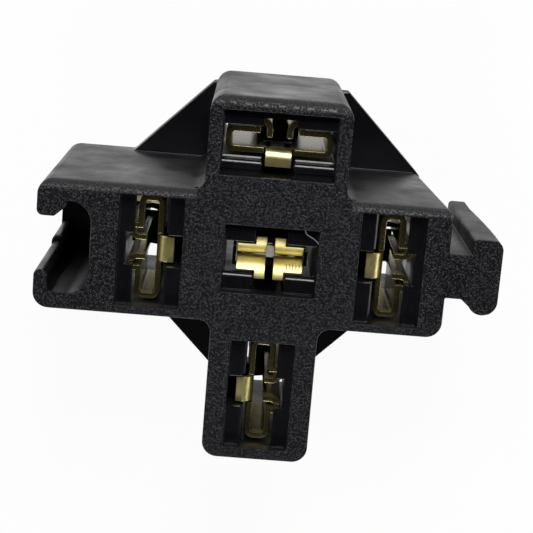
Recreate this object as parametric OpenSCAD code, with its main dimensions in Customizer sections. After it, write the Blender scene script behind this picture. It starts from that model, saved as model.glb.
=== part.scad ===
// Relay socket for a five-blade plug-in relay, with its sprung contacts.
// Millimetres. The wire side is the plane z = 0 and the relay face looks along +Z.
// The blade of contact 87a stands on the Z axis, blade 87 lies towards +Y and blade 30 towards -Y.

/* [Housing] */
// Height from the wire side to the relay face
body_h = 17; // [16.6:0.2:24]
// Thickness of the diamond-shaped flange
flange_t = 1.8; // [1.2:0.1:3]
// Distance between the flange edges at upper right and lower left
flange_a = 22.6; // [21.6:0.05:23.4]
// Distance between the flange edges at upper left and lower right
flange_b = 22.15; // [21.6:0.05:23.4]
// The corner of the flange behind the upper arm is cut this far inside the arm's end
flange_inset = 0.8; // [0.6:0.1:1]
// Cross bar, from the middle to its upper side
bar_up = 4.65; // [4.4:0.05:5.2]
// Cross bar, from the middle to its lower side
bar_down = 4.53; // [4.4:0.01:5.2]
// Wall between the pocket of blade 85 and the tongue end of the cross bar
tongue_wall = 1.75; // [1.3:0.05:2.6]
// Wall between the pocket of blade 86 and the channel
channel_wall = 1.9; // [1.2:0.05:2.4]
// Half the width of the upper arm
upper_arm_half = 4.9; // [4.6:0.05:5.6]
// Wall at the end of the upper arm
upper_wall = 1.0; // [0.8:0.05:2]
// Half the width of the lower arm
lower_arm_half = 3.77; // [3.4:0.01:4.4]
// Wall at the end of the lower arm
lower_wall = 0.8; // [0.6:0.01:1.8]
// Corner radius at the ends of the arms
arm_r = 1.1; // [0.5:0.1:1.3]
// Fillet where the arms meet the cross bar
armpit_r = 0.9; // [0.4:0.1:1.2]
// Round on the front edges that face +Y
brow_r = 0.85; // [0.3:0.05:1.1]
// Slope of the tongue end of the cross bar, which narrows towards the wire side, in degrees
end_draft = 3.3; // [0.5:0.1:3.6]

/* [Blade pattern] */
// Coil blades 85 and 86, from the middle
coil_x = 8.4; // [8.2:0.05:8.6]
// Blade 87, from the middle
load_y = 8.1; // [7.9:0.05:8.3]
// Blade 30, from the middle
feed_y = 9.8; // [9.6:0.05:10]
// Width of a blade
blade_w = 6.3; // [6:0.1:6.4]
// Thickness of a blade
blade_t = 0.8; // [0.6:0.05:0.9]

/* [Outer cavities] */
// Clearance between a sprung contact and the walls of its cavity
contact_gap = 0.22; // [0.15:0.01:0.35]
// Depth of the shallow pocket round each blade slot
pocket_depth = 0.8; // [0.4:0.1:1.2]
// Thickness of the retaining ribs beside the blade slot
rib_t = 0.7; // [0.4:0.1:1]
// Width of the pocket across the blade
pocket_w = 4.5; // [4:0.1:4.8]
// Round on the front edge of the ribs that look towards +Y
rib_r = 0.35; // [0.2:0.05:0.4]
// Groove between those ribs and the wall of the pocket
rib_groove = 0.3; // [0.2:0.05:0.4]
// Width of the blade slot between the ribs
slot_w = 2.36; // [1.8:0.02:2.6]
// Width of the gap between the two halves of a rib
notch_w = 2.24; // [2.1:0.02:2.6]
// Lobe side of the cavity, from the blade plane
cavity_deep = 2.2; // [2.1:0.05:2.3]
// Play between a lock tongue and its shoulder
lock_play = 0.2; // [0.1:0.05:0.4]
// Lead-in chamfer of a wire entry
entry_chamfer = 0.25; // [0.15:0.05:0.3]

/* [Centre cavity] */
// Length of the centre pocket along the blade
centre_pocket_l = 6.54; // [6.4:0.02:6.8]
// Width of the centre pocket across the blade
centre_pocket_w = 4.8; // [4.6:0.1:5]
// Width of the centre blade slot between its ribs
centre_slot_w = 2.24; // [2.1:0.02:2.6]

/* [Channel] */
// Depth of the channel with its lips
channel_depth = 3.8; // [3.2:0.02:4.4]
// Clearance in the mouth of the channel above the stem of the next tongue
stem_play_up = 0.42; // [0.2:0.01:0.6]
// Clearance in the mouth of the channel below the stem of the next tongue
stem_play_down = 0.2; // [0.15:0.01:0.6]
// Corner radius at the upper and lower outer edges of the channel
channel_r = 1.1; // [0.5:0.1:1.4]
// Fillets at the back wall of the channel
channel_fillet = 1.5; // [0.4:0.1:1.6]
// Thickness of the lower lip of the channel
lower_lip_t = 0.97; // [0.7:0.01:1.2]
// Thickness of the upper lip at its tip
upper_tip_t = 1.22; // [0.9:0.02:1.4]
// Thickness of the upper lip at its root
upper_lip_t = 2.05; // [1.6:0.05:2.1]
// Height of the step on the lower lip, which narrows the mouth near the wire side
step_h = 0.45; // [0.2:0.05:0.5]
// Length of that step, from the wire side
step_l = 7.6; // [4:0.2:10]
// Round at the front of that step
step_r = 0.4; // [0.1:0.05:0.45]
// Wall above the channel
channel_wall_up = 1.48; // [1.2:0.01:1.8]
// Wall below the channel
channel_wall_down = 1.2; // [0.9:0.01:1.5]

/* [Tongue] */
// Half the thickness of the stem of the tongue
stem_half = 1.6; // [1.2:0.05:1.85]
// Outer face of the head, from the end of the cross bar
head_reach = 3.7; // [3.3:0.1:4.4]
// Width of the head along the cross bar
head_w = 2.1; // [1.8:0.05:2.4]
// Upper side of the head, from the middle
head_up = 2.75; // [2.3:0.05:3]
// Lower side of the head, from the middle
head_down = 2.65; // [2.3:0.05:3]
// Narrowing of the head behind its front
head_taper = 0.8; // [0.2:0.05:1]
// Length over which the head narrows
head_taper_l = 12; // [6:0.1:14]
// Clearance under the tongue when two linked sockets stand level
link_gap = 0.2; // [0.1:0.05:0.4]

/* [Sprung contacts] */
// Sheet thickness of the outer contacts
stock_t = 0.4; // [0.3:0.02:0.42]
// Depth of the outer contacts below the relay face
contact_depth = 1.7; // [1.6:0.05:2.2]
// Width of the rolled blade box beyond that of its blade
box_margin = 1.15; // [1:0.05:1.3]
// Length of the rolled blade box
box_l = 7.2; // [6:0.1:8]
// Length of the neck between the box and the barrels
neck_l = 1.6; // [1.2:0.1:2]
// Length of the conductor barrel
conductor_l = 2.8; // [2:0.1:3.2]
// Gap between the two barrels
barrel_gap = 0.5; // [0.3:0.1:0.8]
// Length of the insulation barrel
insulation_l = 2.5; // [2:0.1:3]
// Width of the front lip and of the lock tongue
lance_w = 1.84; // [1.4:0.02:2]
// Reach of the front lip, from the blade plane
lip_reach = 1.65; // [1.5:0.05:2]
// Slope of the lock tongue, in degrees
lance_slope = 14; // [8:1:16]
// Half the gap between the rolled ends
slit_half = 0.5; // [0.3:0.05:0.7]
// Height of the rolled beads, from the blade plane
bead_up = 1.7; // [1.6:0.02:1.8]

/* [Centre contact] */
// Sheet thickness of the centre contact
finger_t = 0.35; // [0.25:0.01:0.4]
// Sheet thickness of the steel spring
spring_t = 0.25; // [0.2:0.01:0.3]
// Depth of the finger tips below the relay face
finger_depth = 1.0; // [0.9:0.05:1.2]
// Half the width of the centre contact
finger_half = 2.33; // [2:0.01:2.5]
// Half the height over the box of the centre contact
finger_box = 1.35; // [1.2:0.05:1.45]
// Outer radius of a flared finger tip
flare_r = 1.5; // [1.4:0.05:1.8]
// Length of the sloping part of a finger
finger_arm_l = 3.6; // [3:0.1:4]
// Length of the steel sleeve
sleeve_l = 2.6; // [2.2:0.1:3]

/* [Hidden] */
$fn = 48;
cut = 0.5;                                     // overrun of a cutting shape past a face
eps = 0.01;                                    // overlap that fuses shapes which would only touch
contact_half = (blade_w + box_margin) / 2;     // half the width over a rolled contact
base_out = blade_t / 2 + stock_t;              // outer face of a contact's base, from the blade plane
cavity_half = contact_half + contact_gap;      // half the length of an outer cavity
upper_arm_reach = load_y + pocket_w / 2 + upper_wall;
lower_arm_reach = feed_y + cavity_half + lower_wall;
bar_right = coil_x + pocket_w / 2 + tongue_wall;
bar_left = coil_x + pocket_w / 2 + channel_wall;
channel_end = bar_left + channel_depth;
head_end = bar_right + head_reach;
mouth_up = stem_half + stem_play_up;           // upper side of the channel's mouth
mouth_down = stem_half + stem_play_down;       // lower side of the channel's mouth
lip_tip_r = lower_lip_t / 2 - 0.05;            // round on the tips of the channel's lips
cavity_base = base_out + contact_gap;          // base side of an outer cavity, from the blade plane
groove_out = pocket_w / 2;                     // bottom of the lock groove, from the blade plane
rib_z = body_h - pocket_depth - rib_t;         // wire-side face of the ribs
bead_r = 0.45;                                 // inner radius of the curve that meets the blade
flange_v = blade_t / 2 + 0.2;                  // inner face of a rolled flange, from the blade plane
bead_notch = bead_up + 0.05;                   // rib notch in front of the rolled beads
centre_half = centre_pocket_l / 2 - 0.1;       // half the length of the centre cavity
centre_deep = centre_pocket_w / 2 - 0.2;       // half the width of the centre cavity
centre_groove = centre_pocket_w / 2 + 0.35;    // bottom of the centre lock groove
lip_r = 0.3;                                   // inner radius of the front lip's bend
lip_front = 0.35;                              // the front lip stands this far before the box
neck_inset = 0.6;                              // the neck leaves the box this far inside its sides
neck_start = contact_half - neck_inset;
lance_top = 3;                                 // head of the lock tongue, behind the contact's front
lance_foot = 0.95;                             // sheet left behind the window of the lock tongue
lance_l = box_l - lance_top - lance_foot;      // length of the lock tongue
shoulder_z = body_h - contact_depth - lance_top - lance_l * cos(lance_slope) - lock_play;
pinch = 0.06;                                  // half the gap between the centre fingers
sleeve_gap = 0.06;                             // clearance between the steel sleeve and the contact
sleeve_top = 0.4 - flare_r - finger_arm_l;     // front of the steel sleeve, from the finger tips
tall_tip = 1.5;                                // height of a finger's inner part, from the blade plane
low_tip = 0.95;                                // height of its outer part
catch_head = 0.3;                              // head of the sleeve's lock tongue, behind its front
catch_l = sleeve_l - 2 * catch_head;           // length of that tongue
catch_slope = 18;                              // slope of that tongue
catch_z = sleeve_top - catch_head - catch_l * cos(catch_slope);
centre_shoulder_z = body_h - finger_depth + catch_z - lock_play;
brass = [0.80, 0.70, 0.38];
steel = [0.62, 0.63, 0.64];
black = [0.13, 0.13, 0.14];

// ---- plane figures -------------------------------------------------------

// What is cut away to round a right-angled corner at the origin, material towards (-sx, -sy)
module corner_cut(r, sx, sy)
    difference() {
        translate([sx > 0 ? -r : -cut, sy > 0 ? -r : -cut]) square(r + cut);
        translate([-sx * r, -sy * r]) circle(r);
    }

// What fills a right-angled inside corner at the origin, with the opening towards (sx, sy)
module corner_fill(r, sx, sy)
    difference() {
        translate([sx > 0 ? 0 : -r, sy > 0 ? 0 : -r]) square(r);
        translate([sx * r, sy * r]) circle(r);
    }

// Rectangle given by its two corners
module box2d(x0, y0, x1, y1)
    translate([x0, y0]) square([x1 - x0, y1 - y0]);

// Quarter of a bent strip round the origin; sx and sy choose the quadrant
module bend(r_in, t, sx, sy)
    intersection() {
        difference() {
            circle(r_in + t);
            circle(r_in);
        }
        translate([sx > 0 ? 0 : -r_in - t, sy > 0 ? 0 : -r_in - t]) square(r_in + t);
    }

// ---- housing -------------------------------------------------------------

// Cross-shaped outline of the relay face
module cross_outline() {
    difference() {
        union() {
            box2d(-bar_left, -bar_down, bar_right, bar_up);
            box2d(-upper_arm_half, 0, upper_arm_half, upper_arm_reach);
            box2d(-lower_arm_half, -lower_arm_reach, lower_arm_half, 0);
            for (s = [-1, 1]) {
                translate([s * upper_arm_half, bar_up]) corner_fill(armpit_r, s, 1);
                translate([s * lower_arm_half, -bar_down]) corner_fill(armpit_r, s, -1);
            }
        }
        for (s = [-1, 1]) {
            translate([s * upper_arm_half, upper_arm_reach]) corner_cut(arm_r, s, 1);
            translate([s * lower_arm_half, -lower_arm_reach]) corner_cut(arm_r, s, -1);
        }
    }
}

// C-shaped channel at the left end of the cross bar
module channel_outline() {
    ceiling = bar_up - channel_wall_up;
    floor_y = -bar_down + channel_wall_down;
    lip_x = -channel_end + lower_lip_t;
    root_x = -channel_end + upper_lip_t;
    nook_r = 0.4;                         // fillet behind the lower lip
    difference() {
        box2d(-channel_end, -bar_down, -bar_left + eps, bar_up);
        difference() {
            union() {
                box2d(root_x, floor_y, -bar_left, ceiling);
                box2d(lip_x, floor_y, root_x + eps, mouth_up);
                polygon([[root_x, mouth_up], [-channel_end + upper_tip_t, mouth_up],
                         [root_x, ceiling - nook_r]]);
                box2d(-channel_end - cut, -mouth_down, lip_x + eps, mouth_up);
            }
            translate([-bar_left, ceiling]) corner_fill(channel_fillet, -1, -1);
            translate([-bar_left, floor_y]) corner_fill(channel_fillet, -1, 1);
            translate([lip_x, floor_y]) corner_fill(nook_r, 1, 1);
        }
        translate([-channel_end, -bar_down]) corner_cut(channel_r, -1, -1);
        translate([-channel_end, bar_up]) corner_cut(channel_r, -1, 1);
        translate([-channel_end, -mouth_down]) corner_cut(lip_tip_r, -1, 1);
        translate([lip_x, -mouth_down]) corner_cut(lip_tip_r, 1, 1);
        translate([-channel_end, mouth_up]) corner_cut(lip_tip_r, -1, -1);
    }
}

// Step on the tip of the channel's lower lip, where the stem of the next tongue seats
module mouth_step() {
    top = step_h - mouth_down;
    intersection() {
        linear_extrude(step_l)
            difference() {
                box2d(-channel_end, -bar_down + channel_r, -channel_end + lower_lip_t, top);
                translate([-channel_end, top]) corner_cut(lip_tip_r, -1, 1);
                translate([-channel_end + lower_lip_t, top]) corner_cut(lip_tip_r, 1, 1);
            }
        translate([-channel_end - cut, 0, 0]) rotate([90, 0, 90])
            linear_extrude(lower_lip_t + 2 * cut)
                difference() {
                    box2d(-bar_down, 0, top, step_l);
                    translate([top, step_l]) corner_cut(step_r, 1, 1);
                }
    }
}

// T-shaped tongue that slides into the channel of the next socket
module tongue_outline() {
    inner = head_end - head_w;
    lobe_r = head_w / 2;      // the lower side of the head is a half round
    nose_r = 0.3;             // corner of the head towards the cross bar
    edge_r = 0.7;             // outer corner of the head
    root = 2;                 // the stem runs on this far into the cross bar
    web = 0.45;               // reach of the web under the stem, to both sides of the head's inner face
    web_tip = 0.35;           // inset of the web's tip from that face and from the head's lower side
    difference() {
        union() {
            box2d(bar_right - root, -stem_half, inner + nose_r, stem_half);
            box2d(inner, -head_down + lobe_r, head_end, head_up);
            translate([head_end - lobe_r, -head_down + lobe_r]) circle(lobe_r);
            polygon([[inner - web, -stem_half], [inner + web, -stem_half],
                     [inner + web_tip, -head_down + web_tip]]);
        }
        translate([inner, head_up]) corner_cut(nose_r, -1, 1);
        translate([head_end, head_up]) corner_cut(edge_r, 1, 1);
    }
}

// What is cut off the tongue end of the cross bar: a slice along its drafted face and, where
// rounded is true, its two corners, rounded along the same slope
module drafted_end(rounded) {
    reach = (body_h + cut) / cos(end_draft) + cut;
    translate([bar_right, 0, body_h]) rotate([0, end_draft, 0])
        translate([0, 0, -reach]) linear_extrude(reach + cut) {
            box2d(0, -2 * bar_down, tongue_wall, 2 * bar_up);
            if (rounded) {
                translate([0, -bar_down]) corner_cut(arm_r, 1, -1);
                translate([0, bar_up]) corner_cut(arm_r / 2, 1, 1);
            }
        }
}

// Round of radius r along an edge between faces that look towards +Y and +Z; the cut runs
// on past the face that looks towards +Y by the given overrun
module brow(x0, x1, y, z, r, over = cut)
    translate([x0, y - r, z - r])
        difference() {
            cube([x1 - x0, r + over, r + cut]);
            translate([-cut, 0, 0]) rotate([0, 90, 0]) cylinder(h = x1 - x0 + 2 * cut, r = r);
        }

// Places a shape made with its blade along X and its lobe side towards +Y in a cavity
module at_30() translate([0, -feed_y, 0]) rotate([0, 0, -90]) children();
module at_85() translate([coil_x, 0, 0]) rotate([0, 0, -90]) children();
module at_86() translate([-coil_x, 0, 0]) rotate([0, 0, 90]) children();
module at_87() translate([0, load_y, 0]) children();
module at_each_outer() {
    at_30() children();
    at_85() children();
    at_86() children();
    at_87() children();
}

// Widened mouth of a wire entry: a straight-sided funnel cut from four sloping planes
module funnel(x0, y0, x1, y1) {
    c = entry_chamfer;
    intersection() {
        translate([0, y1 + c, 0]) rotate([90, 0, 0]) linear_extrude(y1 - y0 + 2 * c)
            polygon([[x0 - 2 * c, -c], [x1 + 2 * c, -c], [x1, c], [x0, c]]);
        translate([x0 - c, 0, 0]) rotate([90, 0, 90]) linear_extrude(x1 - x0 + 2 * c)
            polygon([[y0 - 2 * c, -c], [y1 + 2 * c, -c], [y1, c], [y0, c]]);
    }
}

// Rounds the front edges of the ribs beside a slot and parts them from the walls of the pocket
module polished_ribs(half, slot_half, pocket_half) {
    z = body_h - pocket_depth;
    edge_y = pocket_half - rib_groove;
    brow(-half, half, -slot_half, z, rib_r);
    for (s = [0, 1])
        mirror([0, s, 0]) brow(-half, half, edge_y, z, rib_r / 2, rib_groove);
    for (y = [-pocket_half, edge_y])
        translate([-half, y, z - rib_groove]) cube([2 * half, rib_groove, rib_groove + cut]);
}

// Hollow for one outer contact, with its pocket, ribs, lock groove and wire entry
module outer_cavity() {
    translate([0, 0, body_h - pocket_depth]) linear_extrude(pocket_depth + cut)
        box2d(-cavity_half, -pocket_w / 2, cavity_half, pocket_w / 2);
    translate([0, 0, rib_z - eps]) linear_extrude(rib_t + 2 * eps) {
        box2d(-cavity_half, -slot_w / 2, cavity_half, slot_w / 2);
        box2d(-notch_w / 2, -groove_out, notch_w / 2, bead_notch);
    }
    translate([0, 0, -cut]) linear_extrude(rib_z + cut)
        box2d(-cavity_half, -cavity_base, cavity_half, cavity_deep);
    translate([0, 0, shoulder_z]) linear_extrude(rib_z - shoulder_z)
        box2d(-notch_w / 2, -groove_out, notch_w / 2, 0);
    funnel(-cavity_half, -cavity_base, cavity_half, cavity_deep);
}

// Hollow for the centre contact
module centre_cavity() {
    translate([0, 0, body_h - pocket_depth]) linear_extrude(pocket_depth + cut)
        box2d(-centre_pocket_l / 2, -centre_pocket_w / 2, centre_pocket_l / 2, centre_pocket_w / 2);
    translate([0, 0, rib_z - eps]) linear_extrude(rib_t + 2 * eps) {
        box2d(-centre_half, -centre_slot_w / 2, centre_half, centre_slot_w / 2);
        box2d(-notch_w / 2, -centre_pocket_w / 2, notch_w / 2, centre_pocket_w / 2);
    }
    translate([0, 0, -cut]) linear_extrude(rib_z + cut)
        box2d(-centre_half, -centre_deep, centre_half, centre_deep);
    translate([0, 0, centre_shoulder_z]) linear_extrude(rib_z - centre_shoulder_z)
        box2d(-notch_w / 2, -centre_groove, notch_w / 2, 0);
    funnel(-centre_half, -centre_deep, centre_half, centre_deep);
}

// Blind pockets from the wire side that keep the walls of the moulding even
module cores() {
    wall = 1.1;               // even wall left between two cavities
    face_web = 3;             // thick web left behind the ribs of the relay face
    depth = rib_z - face_web;
    side_in = centre_half + wall;
    side_out = coil_x - groove_out - wall / 2;
    up_out = load_y - groove_out - wall / 2;
    down_out = feed_y - cavity_half - wall / 2;
    translate([0, 0, -cut]) linear_extrude(depth + cut) {
        for (s = [-1, 1])
            box2d(s > 0 ? side_in : -side_out, -centre_deep, s > 0 ? side_out : -side_in, centre_deep);
        box2d(-centre_half, centre_groove + wall / 2, centre_half, up_out);
        box2d(-centre_half, -down_out, centre_half, -centre_groove - wall / 2);
    }
}

// Diamond at the wire side, cut off at the ends of the bar and of the arms, and the strip that
// closes the channel there
module flange_outline() {
    intersection() {
        rotate([0, 0, 45]) square([flange_a, flange_b], center = true);
        box2d(-bar_left, -lower_arm_reach, bar_right, upper_arm_reach - flange_inset);
    }
    box2d(-channel_end, -bar_down + channel_r, -bar_left, bar_up - channel_r);
}

module housing() {
    color(black)
    difference() {
        union() {
            difference() {
                linear_extrude(body_h) {
                    cross_outline();
                    channel_outline();
                }
                drafted_end(true);
            }
            difference() {
                linear_extrude(flange_t) flange_outline();
                drafted_end(false);
            }
            mouth_step();
            translate([0, 0, flange_t + link_gap]) linear_extrude(body_h - flange_t - link_gap)
                tongue_outline();
        }
        brow(-channel_end - cut, -upper_arm_half - armpit_r / 2, bar_up, body_h, brow_r);
        brow(upper_arm_half + armpit_r / 2, bar_right + cut, bar_up, body_h, brow_r);
        brow(-upper_arm_half - cut, upper_arm_half + cut, upper_arm_reach, body_h, brow_r);
        // the head narrows behind its front
        translate([0, bar_up, 0]) rotate([90, 0, 0]) linear_extrude(2 * bar_up)
            polygon([[head_end, body_h], [head_end - head_taper, body_h - head_taper_l],
                     [head_end - head_taper, -cut], [head_end + cut, -cut], [head_end + cut, body_h]]);
        at_each_outer() outer_cavity();
        centre_cavity();
        at_87() polished_ribs(cavity_half, slot_w / 2, pocket_w / 2);
        polished_ribs(centre_pocket_l / 2, centre_slot_w / 2, centre_pocket_w / 2);
        cores();
    }
}

// ---- outer contacts ------------------------------------------------------

// Section of the rolled blade box: flat base, two flanges, and the folded beads that press
// on the blade with their curved inner legs
module rolled_section() {
    side_r = 0.2;                            // inner radius of the corners of the box
    press = 0.06;                            // how far the legs reach into the room of the blade
    edge = contact_half - side_r - stock_t;
    bead_x = slit_half + stock_t + bead_r;
    bead_y = bead_up - stock_t - bead_r;
    box2d(-edge, -base_out, edge, -base_out + stock_t);
    for (s = [0, 1]) mirror([s, 0]) {
        translate([edge, -base_out + stock_t + side_r]) bend(side_r, stock_t, 1, -1);
        box2d(edge + side_r, -base_out + stock_t + side_r, contact_half, flange_v - side_r);
        translate([edge, flange_v - side_r]) bend(side_r, stock_t, 1, 1);
        box2d(bead_x, flange_v, edge, flange_v + stock_t);
        box2d(bead_x, flange_v, bead_x + stock_t, bead_up - stock_t);
        intersection() {
            translate([bead_x, bead_up - stock_t]) circle(stock_t);
            box2d(bead_x, bead_up - stock_t, bead_x + stock_t, bead_up);
        }
        translate([bead_x, bead_y]) bend(bead_r, stock_t, -1, 1);
        box2d(slit_half, blade_t / 2 - press, slit_half + stock_t, bead_y);
    }
}

// Open barrel section: round floor and two raised wings, its lowest line at v
module barrel_section(r_in, t, v, top) {
    translate([0, v + r_in + t]) {
        bend(r_in, t, 1, -1);
        bend(r_in, t, -1, -1);
    }
    box2d(r_in, v + r_in + t, r_in + t, top);
    box2d(-r_in - t, v + r_in + t, -r_in, top);
}

// Neck and the two open barrels behind a box that ends at z = 0, floor at v
module crimp_end(t, v, half, top) {
    barrel_r = 1.15;          // inner radius of the conductor barrel
    grip_r = 1.5;             // inner radius of the insulation barrel
    barrel_v = v + 0.05;      // the conductor barrel stands a little proud inside the neck
    neck_half = barrel_r + t;
    gusset = 1.9;             // height of the neck's side walls where the barrel starts
    bridge = 0.9;             // height of the strip that joins the two barrels
    translate([0, v + t, 0]) rotate([90, 0, 0]) linear_extrude(t)
        polygon([[-half, eps], [half, eps], [neck_half, -neck_l], [-neck_half, -neck_l]]);
    for (s = [0, 1]) mirror([s, 0, 0])
        translate([neck_half, 0, 0]) rotate([0, 90, 0]) mirror([0, 0, 1]) linear_extrude(t)
            polygon([[neck_l / 2, v], [neck_l + eps, v], [neck_l + eps, v + gusset]]);
    translate([0, 0, -neck_l - conductor_l]) linear_extrude(conductor_l)
        barrel_section(barrel_r, t, barrel_v, top);
    translate([0, 0, -neck_l - conductor_l - barrel_gap - eps]) linear_extrude(barrel_gap + 2 * eps)
        intersection() {
            barrel_section(barrel_r, t, barrel_v, top);
            box2d(-neck_half, v, neck_half, v + bridge);
        }
    translate([0, 0, -neck_l - conductor_l - barrel_gap - insulation_l]) linear_extrude(insulation_l)
        barrel_section(grip_r, t, v, top);
}

// Sprung contact, its front at z = 0 and its blade plane at y = 0
module receptacle_shape() {
    window_l = lance_l + 0.35;               // the window is a little longer than its tongue
    slit = 0.12;                             // shear gap beside the lock tongue and the front lip
    lap = 0.12;                              // how far a tongue runs on into the sheet it is cut from
    stop_half = 1.15;                        // half the width of the blade stop
    stop_gap = 0.35;                         // room between the box and the blade stop
    lip_z = lip_front - lip_r - stock_t;     // where the bend of the front lip starts
    lip_y = -base_out - lip_r;               // where it ends
    root_z = -lip_r - stock_t;
    difference() {
        translate([0, 0, -box_l]) linear_extrude(box_l) rolled_section();
        translate([-lance_w / 2 - slit, -base_out - cut, -lance_top - window_l])
            cube([lance_w + 2 * slit, stock_t + cut + 0.1, window_l]);
        translate([-lance_w / 2 - slit, -base_out - cut, root_z])
            cube([lance_w + 2 * slit, stock_t + cut + 0.02, cut - root_z]);
    }
    // stop behind the box, which halts a blade before it reaches the wire
    translate([-stop_half, -base_out, -box_l - stop_gap - stock_t])
        cube([2 * stop_half, base_out + blade_t, stock_t]);
    // front lip, bent outwards
    translate([-lance_w / 2, 0, 0]) rotate([90, 0, 90]) linear_extrude(lance_w) {
        box2d(-base_out, root_z - lap, -base_out + stock_t, lip_z);
        translate([lip_y, lip_z]) bend(lip_r, stock_t, 1, 1);
        box2d(-lip_reach, lip_front - stock_t, lip_y, lip_front);
    }
    // lock tongue, sloping outwards from the head of its window
    translate([-lance_w / 2, -base_out, lap - lance_top]) rotate([-lance_slope, 0, 0])
        translate([0, 0, -lance_l]) cube([lance_w, stock_t, lance_l]);
    translate([0, 0, -box_l]) crimp_end(stock_t, -base_out, neck_start, cavity_deep - contact_gap);
}

module receptacle() color(brass) translate([0, 0, body_h - contact_depth]) receptacle_shape();

module receptacle_30() at_30() receptacle();
module receptacle_85() at_85() receptacle();
module receptacle_86() at_86() receptacle();
module receptacle_87() at_87() receptacle();

// ---- centre contact ------------------------------------------------------

// Side view of one upper finger: sloping arm and flared tip cut off at height top
module finger_side(top) {
    root = finger_box - finger_t;
    intersection() {
        translate([pinch + flare_r, -flare_r]) bend(flare_r - finger_t, finger_t, -1, 1);
        box2d(0, -flare_r, top, 0);
    }
    polygon([[pinch, eps - flare_r], [pinch + finger_t, eps - flare_r],
             [root + finger_t, -flare_r - finger_arm_l], [root, -flare_r - finger_arm_l]]);
}

// One finger, half as wide as the contact: a tall inner part and a short outer part
module finger(tall, low) {
    inner = 0.28;
    step_x = notch_w / 2 - 0.08;
    for (p = [[inner, step_x, tall], [step_x - eps, finger_half, low]])
        translate([p[0], 0, 0]) rotate([90, 0, 90]) linear_extrude(p[1] - p[0])
            finger_side(p[2]);
}

module centre_contact_87a()
    color(brass)
    translate([0, 0, body_h - finger_depth]) {
        root_z = -flare_r - finger_arm_l;
        box_end = -contact_depth + finger_depth - box_l;
        for (sx = [0, 1], sy = [0, 1]) mirror([sx, 0, 0]) mirror([0, sy, 0]) finger(tall_tip, low_tip);
        translate([0, 0, box_end]) linear_extrude(root_z - box_end + eps)
            difference() {
                box2d(-finger_half, -finger_box, finger_half, finger_box);
                box2d(-finger_half + finger_t, -finger_box + finger_t,
                      finger_half - finger_t, finger_box - finger_t);
            }
        translate([0, 0, box_end]) crimp_end(finger_t, -finger_box, finger_half, centre_deep - 0.3);
    }

// Side view of one arm of the steel spring, lying along the outer face of a finger
module arm_side() {
    slope = (finger_box - finger_t - pinch) / finger_arm_l;
    far = -flare_r - 0.7;
    start = pinch + finger_t + 1.1 * sleeve_gap;
    polygon([[start - slope * (far + flare_r), far],
             [start - slope * (far + flare_r) + spring_t, far],
             [finger_box + sleeve_gap + spring_t, sleeve_top - eps],
             [start - slope * (sleeve_top + flare_r), sleeve_top - eps]]);
}

// Steel sleeve round the contact's box, with side cheeks, a lock tongue and two pressing arms
module centre_spring_87a()
    color(steel)
    translate([0, 0, body_h - finger_depth]) {
        inner_x = finger_half + sleeve_gap;
        inner_y = finger_box + sleeve_gap;
        cheek_half = 0.52;        // half the width of a side cheek
        cheek_top = -0.8;         // front of the side cheeks, from the finger tips
        arm_half = 1.7;           // half the width of a pressing arm
        catch_half = lance_w / 2;
        slit = 0.1;               // shear gap beside the lock tongue
        difference() {
            translate([0, 0, sleeve_top - sleeve_l]) linear_extrude(sleeve_l)
                difference() {
                    box2d(-inner_x - spring_t, -inner_y - spring_t, inner_x + spring_t, inner_y + spring_t);
                    box2d(-inner_x, -inner_y, inner_x, inner_y);
                }
            translate([-catch_half - slit, -inner_y - spring_t - cut, sleeve_top - catch_head - catch_l])
                cube([2 * (catch_half + slit), spring_t + cut + 0.02, catch_l]);
        }
        translate([-catch_half, -inner_y - spring_t, sleeve_top - catch_head + 0.08])
            rotate([-catch_slope, 0, 0])
            translate([0, 0, -catch_l]) cube([2 * catch_half, spring_t, catch_l]);
        for (s = [0, 1]) mirror([s, 0, 0])
            translate([inner_x, -cheek_half, sleeve_top - eps])
                cube([spring_t, 2 * cheek_half, cheek_top - sleeve_top]);
        for (s = [0, 1]) mirror([0, s, 0])
            translate([-arm_half, 0, 0]) rotate([90, 0, 90]) linear_extrude(2 * arm_half) arm_side();
    }

housing();
receptacle_30();
receptacle_85();
receptacle_86();
receptacle_87();
centre_contact_87a();
centre_spring_87a();
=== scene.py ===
"""Relay socket for a plug-in relay: the looks of its moulded housing and its sprung contacts."""
import math
import bmesh
import bpy
from mathutils import Matrix, Vector
from mathutils.bvhtree import BVHTree


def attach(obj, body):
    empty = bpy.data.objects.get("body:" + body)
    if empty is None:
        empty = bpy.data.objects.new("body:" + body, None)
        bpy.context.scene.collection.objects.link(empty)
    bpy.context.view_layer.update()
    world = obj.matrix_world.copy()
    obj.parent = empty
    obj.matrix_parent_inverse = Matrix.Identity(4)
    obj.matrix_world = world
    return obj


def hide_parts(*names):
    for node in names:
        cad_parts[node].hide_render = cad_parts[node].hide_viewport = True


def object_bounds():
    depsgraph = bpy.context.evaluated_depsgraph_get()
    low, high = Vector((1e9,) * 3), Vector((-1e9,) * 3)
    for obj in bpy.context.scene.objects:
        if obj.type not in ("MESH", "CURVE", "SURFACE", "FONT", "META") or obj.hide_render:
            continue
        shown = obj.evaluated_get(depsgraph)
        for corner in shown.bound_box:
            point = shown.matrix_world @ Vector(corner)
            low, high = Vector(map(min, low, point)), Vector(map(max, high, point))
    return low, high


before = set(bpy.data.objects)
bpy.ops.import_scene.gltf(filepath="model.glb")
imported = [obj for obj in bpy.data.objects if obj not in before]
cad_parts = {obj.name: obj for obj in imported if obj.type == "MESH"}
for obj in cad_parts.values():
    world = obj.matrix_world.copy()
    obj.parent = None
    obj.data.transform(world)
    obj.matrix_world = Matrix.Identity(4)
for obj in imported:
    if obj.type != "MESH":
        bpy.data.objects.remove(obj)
cad_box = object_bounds()

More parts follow.
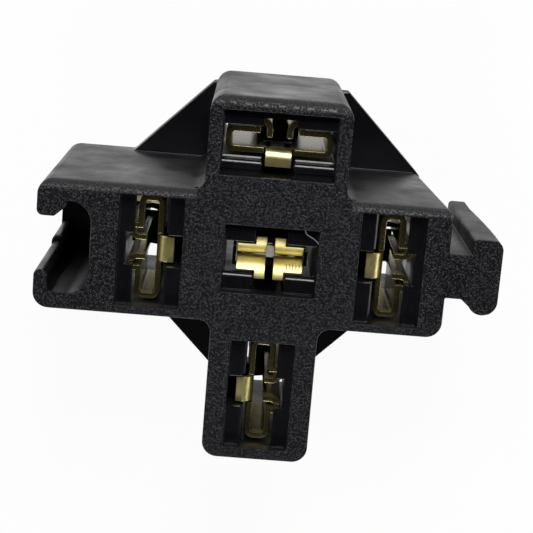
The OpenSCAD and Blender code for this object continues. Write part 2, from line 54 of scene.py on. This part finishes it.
MM = 0.001
OUTER_CONTACTS = ("receptacle_30", "receptacle_85", "receptacle_86", "receptacle_87")

# heights over the wire side, in mm
RELAY_FACE = round(cad_box[1][2] / MM, 3)
RIB_FACE = RELAY_FACE - 0.8      # also the floor of the pockets
RIB_BACK = RIB_FACE - 0.7
BOX_FRONT = RELAY_FACE - 1.7     # front of the rolled boxes, behind their lips
FINGER_TIPS = RELAY_FACE - 1.0
SHADE_FROM = (5.5, 7.0)           # painted shade on the strips sets in over this stretch, from barrel to neck

# tones, each pair from low to high
BLACK = ((0.0026, 0.0027, 0.0040), (0.0054, 0.0056, 0.0074))
# painted glint: the paler colour painted on the peaks of the grain
PAINTED_GLINT = (0.030, 0.031, 0.037)
# partly painted highlight: the hair's paler tone, partly the thin nylon's own
PALE_HAIR_AND_HIGHLIGHT = ((0.09, 0.09, 0.10), (0.22, 0.22, 0.23))
YELLOW = ((0.60, 0.51, 0.19), (0.86, 0.77, 0.35))
# painted shade: the brass's dark tone deep in the cavities
SHADED_BROWN = ((0.012, 0.008, 0.004), (0.034, 0.024, 0.012))
STEEL_GREY = ((0.40, 0.40, 0.39), (0.60, 0.60, 0.58))
# painted shade: the steel's dark tone deep in the cavities
SHADED_GREY = ((0.04, 0.04, 0.035), (0.09, 0.09, 0.08))


# ---- node helpers ----------------------------------------------------------

def new_material(name):
    """Empty node material with a Principled shader; returns (material, its tree, shader)."""
    material = bpy.data.materials.new(name)
    material.use_nodes = True
    return material, material.node_tree, material.node_tree.nodes["Principled BSDF"]


def add(tree, kind, **settings):
    """Adds a node; a setting whose name is a socket goes to that socket."""
    node = tree.nodes.new(kind)
    for key, value in settings.items():
        if hasattr(node, key):
            setattr(node, key, value)
        else:
            node.inputs[key.replace("_", " ")].default_value = value
    return node


def feed(tree, socket, value):
    """Gives a socket a number, a colour or another node's output."""
    if isinstance(value, bpy.types.NodeSocket):
        tree.links.new(value, socket)
    elif isinstance(value, tuple):
        socket.default_value = (*value, 1)
    else:
        socket.default_value = value


def set_shader(tree, shader, **values):
    """Feeds the sockets of a shader; an underscore stands for the space in a socket's name."""
    for title, value in values.items():
        feed(tree, shader.inputs[title.replace("_", " ")], value)


def ramp(tree, value, stops):
    """Turns a socket into greys or colours, from (position, grey or colour) stops."""
    node = add(tree, "ShaderNodeValToRGB")
    while len(node.color_ramp.elements) < len(stops):
        node.color_ramp.elements.new(0.5)
    for element, (position, colour) in zip(node.color_ramp.elements, stops):
        element.position = position
        if isinstance(colour, (int, float)):
            colour = (colour, colour, colour)
        element.color = (*colour, 1)
    tree.links.new(value, node.inputs["Fac"])
    return node.outputs["Color"]


def grain(tree, scale, detail=3.0, rough=0.55, stretch=None):
    """Noise on object coordinates, scale lumps to the metre, its axes scaled once more by stretch."""
    coords = add(tree, "ShaderNodeTexCoord")
    noise = add(tree, "ShaderNodeTexNoise", Scale=scale, Detail=detail, Roughness=rough)
    place = coords.outputs["Object"]
    if stretch:
        mapping = add(tree, "ShaderNodeMapping", Scale=stretch)
        tree.links.new(place, mapping.inputs["Vector"])
        place = mapping.outputs["Vector"]
    tree.links.new(place, noise.inputs["Vector"])
    return noise.outputs["Fac"]


def bump(tree, height, strength, depth, below=None):
    """Bump from a height socket, its depth in mm, laid over another bump."""
    node = add(tree, "ShaderNodeBump", Strength=strength, Distance=depth * MM)
    tree.links.new(height, node.inputs["Height"])
    if below:
        tree.links.new(below, node.inputs["Normal"])
    return node.outputs["Normal"]


def mask_between(tree, value, start, full):
    """0 up to start, 1 from full on, smooth between; downwards where full is less than start."""
    node = add(tree, "ShaderNodeMapRange", interpolation_type="SMOOTHSTEP")
    node.inputs["From Min"].default_value = start
    node.inputs["From Max"].default_value = full
    tree.links.new(value, node.inputs["Value"])
    return node.outputs["Result"]


def length_mask(tree, length, start, full):
    """The same for a length, with start and full in mm."""
    return mask_between(tree, length, start * MM, full * MM)


def product(tree, *factors):
    """Multiplies sockets and numbers."""
    result = factors[0]
    for factor in factors[1:]:
        node = add(tree, "ShaderNodeMath", operation="MULTIPLY")
        tree.links.new(result, node.inputs[0])
        feed(tree, node.inputs[1], factor)
        result = node.outputs[0]
    return result


def blend_value(tree, factor, low, high):
    """Mixes two numbers or sockets, low where the factor is 0 and high where it is 1."""
    node = add(tree, "ShaderNodeMix", data_type="FLOAT")
    for socket, value in zip((node.inputs[0], node.inputs[2], node.inputs[3]), (factor, low, high)):
        feed(tree, socket, value)
    return node.outputs[0]


def blend_colour(tree, factor, low, high):
    """Mixes two colours or colour sockets in the same way."""
    node = add(tree, "ShaderNodeMix", data_type="RGBA")
    for socket, value in zip((node.inputs[0], node.inputs[6], node.inputs[7]), (factor, low, high)):
        feed(tree, socket, value)
    return node.outputs[2]


def mix_shaders(tree, factor, low, high):
    """Mixes two shader sockets in the same way."""
    node = add(tree, "ShaderNodeMixShader")
    for socket, value in zip(node.inputs, (factor, low, high)):
        tree.links.new(value, socket)
    return node.outputs[0]


def height_and_facing(tree):
    """Height of a surface point in metres, and how far it faces up: 0 on a side, 1 on a level face."""
    coords = add(tree, "ShaderNodeTexCoord")
    upward = []
    for title in ("Object", "Normal"):
        split = add(tree, "ShaderNodeSeparateXYZ")
        tree.links.new(coords.outputs[title], split.inputs[0])
        upward.append(split.outputs["Z"])
    return upward


def reach(tree):
    """Distance of a surface point from the origin, in metres."""
    coords = add(tree, "ShaderNodeTexCoord")
    length = add(tree, "ShaderNodeVectorMath", operation="LENGTH")
    tree.links.new(coords.outputs["Object"], length.inputs[0])
    return length.outputs["Value"]


# ---- materials -------------------------------------------------------------

def black_nylon():
    """Black nylon: spark-eroded grain on the relay face and its rounded edges, smooth elsewhere."""
    material, tree, shader = new_material("black_nylon")
    height, facing_up = height_and_facing(tree)
    eroded = product(tree, length_mask(tree, height, start=RIB_FACE - 0.05, full=RIB_FACE + 0.2),
                     mask_between(tree, facing_up, start=0.1, full=0.4))
    rounded = mask_between(tree, facing_up, start=0.97, full=0.85)

    # the grain is deepest round the middle of the face, and everywhere on the rounded edges
    outskirts = length_mask(tree, reach(tree), start=19.0, full=21.2)
    on_face = blend_value(tree, outskirts, low=1.0, high=0.55)
    depth = blend_value(tree, rounded, on_face, high=1.3)
    pits = grain(tree, scale=6400, detail=2, rough=0.6)

    # colour: clouded black, with painted glints: the peaks of the grain are painted paler for the
    # highlights on them
    clouded = ramp(tree, grain(tree, scale=260, detail=4), [(0.3, BLACK[0]), (0.72, BLACK[1])])
    painted_glints = product(tree, mask_between(tree, pits, start=0.50, full=0.74), eroded, depth)
    colour = blend_colour(tree, painted_glints, clouded, PAINTED_GLINT)

    # roughness: the ribs and the flange come off polished steel, the other sides are clouded
    sides = ramp(tree, grain(tree, scale=230, detail=4, rough=0.62), [(0.33, 0.28), (0.67, 0.54)])
    smooth = blend_value(tree, mask_between(tree, facing_up, start=0.15, full=0.4), sides, high=0.24)
    dull = blend_value(tree, rounded, low=0.34, high=0.44)
    roughness = blend_value(tree, eroded, smooth, dull)

    # relief: a satin all over, scrape marks that the blades left across the ribs, and the grain
    satin = grain(tree, scale=2600, detail=3, rough=0.5)
    normal = bump(tree, satin, strength=0.2, depth=0.01)
    scraped = product(tree, length_mask(tree, height, start=RIB_BACK - 0.2, full=RIB_BACK),
                      length_mask(tree, height, start=RIB_FACE + 0.15, full=RIB_FACE - 0.05),
                      mask_between(tree, facing_up, start=0.05, full=0.2))
    scrapes = grain(tree, scale=2400, detail=2, rough=0.6, stretch=(1, 0.35, 0.35))
    normal = bump(tree, product(tree, scrapes, scraped), strength=1.0, depth=0.02, below=normal)
    grains = product(tree, mask_between(tree, pits, start=0.46, full=0.74), eroded, depth)
    normal = bump(tree, grains, strength=1.0, depth=0.044, below=normal)
    set_shader(tree, shader, Base_Color=colour, Roughness=roughness, Normal=normal, IOR=1.42)
    return material


def thin_nylon():
    """Nylon drawn out to a hair, painted paler than the body: partly the thin nylon's own paler look,
    partly a painted highlight along the hair.
    """
    material, tree, shader = new_material("thin_nylon")
    tone = ramp(tree, grain(tree, scale=1500, detail=3), [(0.3, PALE_HAIR_AND_HIGHLIGHT[0]), (0.7, PALE_HAIR_AND_HIGHLIGHT[1])])
    set_shader(tree, shader, Base_Color=tone, Roughness=0.35)
    return material


def sheet_metal(name, fresh, dull, shade_to, rolling, roughness):
    """Rolled strip with fine rolling lines, its own colour at both ends and painted dark in between, as
    painted shade deep in the cavities.

    fresh, dull and roughness are pairs from low to high; dull is the dark tone painted as shade. The
    painted shade sets in over SHADE_FROM and ends over the two heights of shade_to, in mm. rolling is the
    scale of the lines.
    """
    material, tree, shader = new_material(name)
    height, facing_up = height_and_facing(tree)
    # painted shade: cut edges are painted fully dark, and walls hardly at the front but well inside the
    # box
    cut_edge = mask_between(tree, facing_up, start=0.5, full=0.8)
    inside = length_mask(tree, height, start=BOX_FRONT - 0.4, full=BOX_FRONT - 1.2)
    on_walls = blend_value(tree, inside, low=0.1, high=0.85)
    painted_shade = product(tree, length_mask(tree, height, *SHADE_FROM),
                      length_mask(tree, height, start=shade_to[1], full=shade_to[0]),
                      blend_value(tree, cut_edge, on_walls, high=1.0))
    clouds = grain(tree, scale=420, detail=4)
    tones = [ramp(tree, clouds, [(0.3, low), (0.7, high)]) for low, high in (fresh, dull)]
    lines = grain(tree, scale=rolling, detail=3, rough=0.6, stretch=(12, 12, 0.6))
    lined = ramp(tree, lines, [(0.3, roughness[0]), (0.75, roughness[1])])
    set_shader(tree, shader, Metallic=1.0, Base_Color=blend_colour(tree, painted_shade, *tones),
               Roughness=blend_value(tree, painted_shade, lined, high=0.18),
               Normal=bump(tree, lines, strength=0.15, depth=0.02))
    return material


# ---- pieces made from the solids -------------------------------------------

def broken_edges(source, width, angle, segments=2, rounds=8):
    """Breaks the sharp edges of a solid by width, leaving those whose bevel would run off its surface."""
    surface = BVHTree.FromBMesh(source)
    furthest = 0.6 * width
    barred = set()
    for _ in range(rounds):
        bm = source.copy()
        bm.verts.ensure_lookup_table()
        sharp = [e for e in bm.edges if len(e.link_faces) == 2 and e.calc_face_angle() > angle
                 and not (e.verts[0].index in barred or e.verts[1].index in barred)]
        bmesh.ops.bevel(bm, geom=sharp, offset=width, offset_type="OFFSET", segments=segments,
                        profile=0.5, affect="EDGES", clamp_overlap=False)
        strays = [v for v in bm.verts if surface.find_nearest(v.co)[3] > furthest]
        if not strays:
            return bm
        # the solid's corners beside a stray keep their edges sharp in the next round
        for stray in strays:
            for face in stray.link_faces:
                for corner in face.verts:
                    root = min(source.verts, key=lambda v: (v.co - corner.co).length_squared)
                    barred.add(root.index)
        bm.free()
    return source.copy()


def follow_broad_faces(mesh, angle):
    """Sets the shading of each corner by the area of the faces that meet there within the angle."""
    around = [[] for _ in mesh.vertices]
    for polygon in mesh.polygons:
        for corner in polygon.vertices:
            around[corner].append(polygon.index)
    facing = [polygon.normal.copy() for polygon in mesh.polygons]
    area = [polygon.area for polygon in mesh.polygons]
    least = math.cos(angle)
    shading = []
    for polygon in mesh.polygons:
        own = facing[polygon.index]
        for corner in polygon.vertices:
            total = Vector()
            for other in around[corner]:
                if facing[other].dot(own) > least:
                    total += facing[other] * area[other]
            shading.append(total.normalized() if total.length else own)
    mesh.normals_split_custom_set(shading)


def finished_copy(node, name, material, width, angle=math.radians(32)):
    """A solid's mesh with its doubles merged and the edges sharper than angle broken by width mm."""
    source = bmesh.new()
    source.from_mesh(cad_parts[node].data)
    bmesh.ops.remove_doubles(source, verts=source.verts, dist=0.002 * MM)
    source.verts.ensure_lookup_table()
    bm = broken_edges(source, width * MM, angle)
    # no rounding error of a bevel may stand outside the solids' box
    for vertex in bm.verts:
        for axis in range(3):
            vertex.co[axis] = min(max(vertex.co[axis], cad_box[0][axis]), cad_box[1][axis])
    mesh = bpy.data.meshes.new(name)
    bm.to_mesh(mesh)
    bm.free()
    source.free()
    mesh.materials.append(material)
    for polygon in mesh.polygons:
        polygon.use_smooth = True
    mesh.set_sharp_from_angle(angle=angle)
    piece = bpy.data.objects.new(name, mesh)
    bpy.context.scene.collection.objects.link(piece)
    follow_broad_faces(mesh, angle)
    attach(piece, "root")
    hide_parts(node)
    return piece


# ---- small shapes made with Geometry Nodes ---------------------------------

def new_tree(name, **sockets):
    """Geometry Nodes tree with named inputs, each of a kind; returns (tree, input node, output node)."""
    tree = bpy.data.node_groups.new(name, "GeometryNodeTree")
    for title, kind in sockets.items():
        tree.interface.new_socket(title, in_out="INPUT", socket_type="NodeSocket" + kind)
    tree.interface.new_socket("Geometry", in_out="OUTPUT", socket_type="NodeSocketGeometry")
    return tree, add(tree, "NodeGroupInput"), add(tree, "NodeGroupOutput")


def close_tree(tree, shape, given, result):
    """Ends a tree with realized instances, smooth shading and its material."""
    real = add(tree, "GeometryNodeRealizeInstances")
    smooth = add(tree, "GeometryNodeSetShadeSmooth")
    coat = add(tree, "GeometryNodeSetMaterial")
    tree.links.new(shape, real.inputs["Geometry"])
    tree.links.new(real.outputs["Geometry"], smooth.inputs["Geometry"])
    tree.links.new(smooth.outputs["Geometry"], coat.inputs["Geometry"])
    tree.links.new(given.outputs["Material"], coat.inputs["Material"])
    tree.links.new(coat.outputs["Geometry"], result.inputs["Geometry"])


def thread_tree():
    """Sweeps a round thread along the line that the object's own points draw."""
    tree, given, result = new_tree("thread", Geometry="Geometry", Radius="Float", Sides="Int",
                                   Material="Material")
    line = add(tree, "GeometryNodeMeshToCurve")
    ring = add(tree, "GeometryNodeCurvePrimitiveCircle")
    sweep = add(tree, "GeometryNodeCurveToMesh", Fill_Caps=True)
    tree.links.new(given.outputs["Geometry"], line.inputs["Mesh"])
    tree.links.new(given.outputs["Sides"], ring.inputs["Resolution"])
    tree.links.new(given.outputs["Radius"], ring.inputs["Radius"])
    tree.links.new(line.outputs["Curve"], sweep.inputs["Curve"])
    tree.links.new(ring.outputs["Curve"], sweep.inputs["Profile Curve"])
    close_tree(tree, sweep.outputs["Mesh"], given, result)
    return tree


def ridge_tree():
    """Sets a row of fine round ridges, each turned the same way."""
    tree, given, result = new_tree("ridge_row", Geometry="Geometry", Count="Int", Start="Vector",
                                   Step="Vector", Turn="Vector", Length="Float", Radius="Float",
                                   Material="Material")
    row = add(tree, "GeometryNodeMeshLine", mode="OFFSET")
    rod = add(tree, "GeometryNodeMeshCylinder", Vertices=12)
    spread = add(tree, "GeometryNodeInstanceOnPoints")
    turn = add(tree, "FunctionNodeEulerToRotation")
    for title, socket in (("Count", row.inputs["Count"]), ("Start", row.inputs["Start Location"]),
                          ("Step", row.inputs["Offset"]), ("Turn", turn.inputs["Euler"]),
                          ("Length", rod.inputs["Depth"]), ("Radius", rod.inputs["Radius"])):
        tree.links.new(given.outputs[title], socket)
    tree.links.new(turn.outputs["Rotation"], spread.inputs["Rotation"])
    tree.links.new(row.outputs["Mesh"], spread.inputs["Points"])
    tree.links.new(rod.outputs["Mesh"], spread.inputs["Instance"])
    close_tree(tree, spread.outputs["Instances"], given, result)
    return tree


def grown(name, tree, material, slot, points=(), **sizes):
    """Makes a piece with a tree, from optional line points, and turns it into plain mesh."""
    mesh = bpy.data.meshes.new(name)
    mesh.from_pydata(points, [(i, i + 1) for i in range(len(points) - 1)], [])
    piece = bpy.data.objects.new(name, mesh)
    bpy.context.scene.collection.objects.link(piece)
    maker = piece.modifiers.new("maker", "NODES")
    maker.node_group = tree
    wanted = dict(sizes, Material=material)
    for item in tree.interface.items_tree:
        if item.in_out == "INPUT" and item.name in wanted:
            maker[item.identifier] = wanted[item.name]
    bpy.context.view_layer.update()
    graph = bpy.context.evaluated_depsgraph_get()
    plain = bpy.data.meshes.new_from_object(piece.evaluated_get(graph))
    piece.modifiers.clear()
    piece.data = plain
    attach(piece, "root")
    return piece


def centre_pocket_burr(material):
    """Hair of nylon left across one corner of the centre pocket."""
    line = ((2.24, 2.47, 16.92), (2.30, 2.32, 16.95), (2.33, 2.20, 16.95), (2.44, 2.11, 16.95),
            (2.56, 2.04, 16.94), (2.70, 1.96, 16.94), (2.86, 1.88, 16.93), (3.00, 1.78, 16.93),
            (3.14, 1.67, 16.92), (3.24, 1.56, 16.92), (3.34, 1.47, 16.90))
    return grown("centre_pocket_burr", thread_tree(), material, "black_nylon",
                 points=[tuple(value * MM for value in point) for point in line],
                 Radius=0.035 * MM, Sides=10)


def finger_teeth(material):
    """Row of fine ridges pressed into the front of one centre finger."""
    count = 6
    first = 1.22 * MM
    step = 0.22 * MM
    across = -0.56 * MM
    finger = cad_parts["centre_contact_87a"].data
    surface = BVHTree.FromPolygons([vertex.co.copy() for vertex in finger.vertices],
                                   [tuple(polygon.vertices) for polygon in finger.polygons])
    above = Vector((first + (count - 1) / 2 * step, across, RELAY_FACE * MM))
    spot, facing = surface.ray_cast(above, Vector((0, 0, -1)))[:2]
    slope = math.atan2(-facing.y, facing.z)
    return grown("finger_teeth_87a", ridge_tree(), material, "brass",
                 Count=count, Start=(first, across, spot.z), Step=(step, 0, 0),
                 Turn=(math.pi / 2 + slope, 0, 0), Length=0.42 * MM, Radius=0.045 * MM)


# ---- studio ----------------------------------------------------------------

def set_camera():
    """Camera above the relay face, leaning towards +Y, with a lens of about 100 mm."""
    roll, tilt, yaw = (math.radians(degrees) for degrees in (-4.82, 12.87, 1.27))
    stand_off = Vector((-0.24, -0.31, 104.6))     # along the camera's own axes, in mm
    spin = Matrix.Rotation(roll, 3, "Z") @ Matrix.Rotation(tilt, 3, "X") @ Matrix.Rotation(yaw, 3, "Y")
    place = spin.transposed() @ stand_off + Vector((0, 0, RELAY_FACE))
    data = bpy.data.cameras.new("camera")
    data.lens = 101.7
    data.sensor_width = 36
    data.clip_start = 5 * MM
    camera = bpy.data.objects.new("camera", data)
    camera.matrix_world = Matrix.Translation(place * MM) @ spin.transposed().to_4x4()
    bpy.context.scene.collection.objects.link(camera)
    bpy.context.scene.camera = camera


def softbox(name, place, width, height, power):
    """Area lamp that looks at the middle of the socket, in metres and watts."""
    data = bpy.data.lights.new(name, "AREA")
    data.shape = "RECTANGLE"
    data.size = width
    data.size_y = height
    data.energy = power
    lamp = bpy.data.objects.new(name, data)
    aim = Vector((0, 0, 12 * MM)) - Vector(place)
    lamp.matrix_world = Matrix.Translation(place) @ aim.to_track_quat("-Z", "Y").to_matrix().to_4x4()
    bpy.context.scene.collection.objects.link(lamp)


def white_share(tree, shares):
    """How much of plain white is seen, from the share for each of two kinds of ray."""
    path = add(tree, "ShaderNodeLightPath")
    largest = add(tree, "ShaderNodeMath", operation="MAXIMUM")
    for socket, (ray, share) in zip(largest.inputs, shares.items()):
        feed(tree, socket, product(tree, path.outputs[ray], share))
    return largest.outputs[0]


def set_world():
    """Soft room, darker straight above; the camera and clear things see it white."""
    world = bpy.data.worlds.new("room")
    bpy.context.scene.world = world
    world.use_nodes = True
    tree = world.node_tree
    tree.nodes.clear()
    coords = add(tree, "ShaderNodeTexCoord")
    upward = add(tree, "ShaderNodeSeparateXYZ")
    tree.links.new(coords.outputs["Generated"], upward.inputs[0])
    # from the horizon, at 0, to straight above, at 1
    walls = ramp(tree, upward.outputs["Z"], [(0.0, 0.30), (0.5, 0.22), (0.8, 0.08), (0.95, 0.02)])
    room = add(tree, "ShaderNodeBackground", Strength=1)
    tree.links.new(walls, room.inputs["Color"])
    white = add(tree, "ShaderNodeBackground", Color=(1, 1, 1, 1), Strength=1)
    seen = white_share(tree, {"Is Camera Ray": 1.0, "Is Transmission Ray": 1.0})
    shown = mix_shaders(tree, seen, room.outputs[0], white.outputs[0])
    tree.links.new(shown, add(tree, "ShaderNodeOutputWorld").inputs["Surface"])


def set_floor():
    """Plain pale floor that keeps the soft shadow of the socket."""
    bpy.ops.mesh.primitive_plane_add(size=3, location=(0, 0, -0.02 * MM))
    floor = bpy.context.object
    floor.name = "floor"
    material, tree, shader = new_material("pale_floor")
    set_shader(tree, shader, Base_Color=(0.9, 0.9, 0.9), Roughness=0.9, Specular_IOR_Level=0.0)
    white = add(tree, "ShaderNodeEmission", Color=(1, 1, 1, 1), Strength=1)
    seen = white_share(tree, {"Is Camera Ray": 0.95, "Is Glossy Ray": 0.7})
    shown = mix_shaders(tree, seen, shader.outputs[0], white.outputs[0])
    # seen from below the floor is clear, so that the wire side can be looked at
    side = add(tree, "ShaderNodeNewGeometry")
    clear = add(tree, "ShaderNodeBsdfTransparent")
    sheet = mix_shaders(tree, side.outputs["Backfacing"], shown, clear.outputs[0])
    tree.links.new(sheet, tree.nodes["Material Output"].inputs["Surface"])
    floor.data.materials.append(material)


# ---- assembly --------------------------------------------------------------

set_camera()
nylon = black_nylon()
# the brown and dark grey tones are painted shade deep in the cavities, between the wire side and the
# front of the boxes
brass = sheet_metal("sheet_brass", YELLOW, SHADED_BROWN, shade_to=(BOX_FRONT - 0.15, BOX_FRONT + 0.2),
                    rolling=900, roughness=(0.32, 0.46))
finger_brass = sheet_metal("finger_brass", YELLOW, SHADED_BROWN, shade_to=(FINGER_TIPS - 1.8, FINGER_TIPS - 1.0),
                           rolling=900, roughness=(0.40, 0.54))
steel = sheet_metal("spring_steel", STEEL_GREY, SHADED_GREY, shade_to=(FINGER_TIPS, FINGER_TIPS + 0.5),
                    rolling=1100, roughness=(0.24, 0.38))

housing = finished_copy("housing", "moulded_housing", nylon, width=0.09)
for node in OUTER_CONTACTS:
    finished_copy(node, node + "_strip", brass, width=0.06)
centre = finished_copy("centre_contact_87a", "centre_contact_strip", finger_brass, width=0.05)
spring = finished_copy("centre_spring_87a", "centre_spring_strip", steel, width=0.02)
centre_pocket_burr(thin_nylon())
finger_teeth(finger_brass)

set_floor()
set_world()
softbox("key", place=(0.02, 0.28, 0.27), width=0.11, height=0.18, power=1.1)
softbox("fill_low", place=(-0.02, -0.29, 0.24), width=0.09, height=0.09, power=0.3)
softbox("fill_left", place=(-0.3, 0.05, 0.25), width=0.08, height=0.08, power=0.22)
softbox("fill_right", place=(0.3, -0.05, 0.25), width=0.08, height=0.08, power=0.16)
bpy.context.scene.view_settings.view_transform = "Standard"
